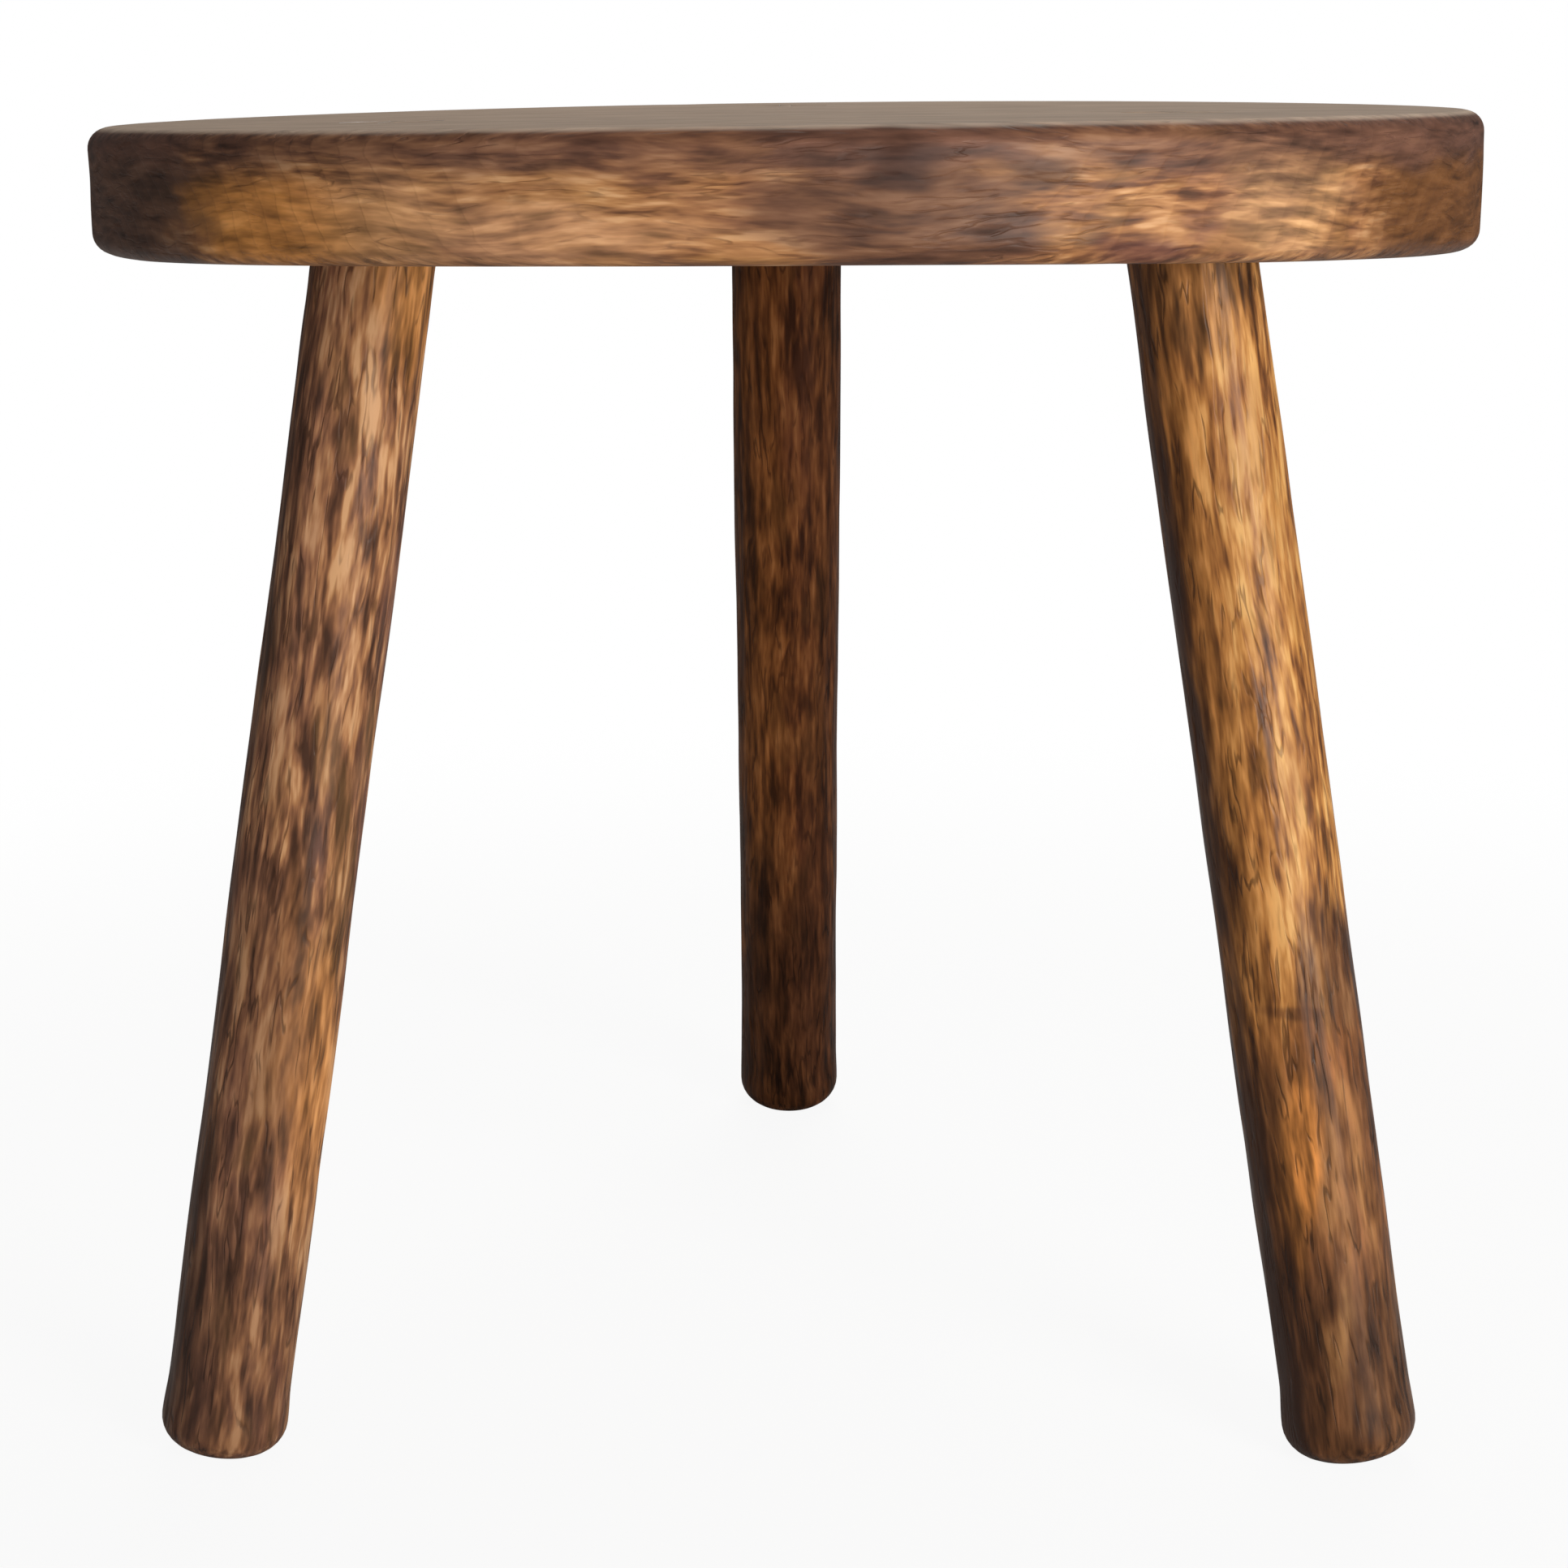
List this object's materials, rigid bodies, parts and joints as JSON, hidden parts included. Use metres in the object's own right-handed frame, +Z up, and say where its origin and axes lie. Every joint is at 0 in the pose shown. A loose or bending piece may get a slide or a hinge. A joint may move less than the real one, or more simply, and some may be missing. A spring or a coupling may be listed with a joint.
{
  "type": "milking stool",
  "caption": "Low wooden milking stool: a round plank seat on splayed round legs, joined by wedged through tenons.",
  "frame": {"origin": "on the floor, below the middle of the round seat", "axes": "+Z up; -Y to the front, between the two front legs; +X to the sitter's right when facing +Y; one leg stands at the back, towards +Y"},
  "size_m": [0.32, 0.3234, 0.3018],
  "materials": {
    "seat": "worn satin wax",
    "leg_front_left": "worn satin wax",
    "leg_front_right": "worn satin wax",
    "leg_back": "worn satin wax",
    "wedge": "waxed end grain"
  },
  "bodies": {
    "root": {"seat": "seat", "leg_front_left": "leg_front_left", "leg_front_right": "leg_front_right", "leg_back": "leg_back", "wedge_front_left": "wedge", "wedge_front_right": "wedge", "wedge_back": "wedge"}
  },
  "joints": []
}
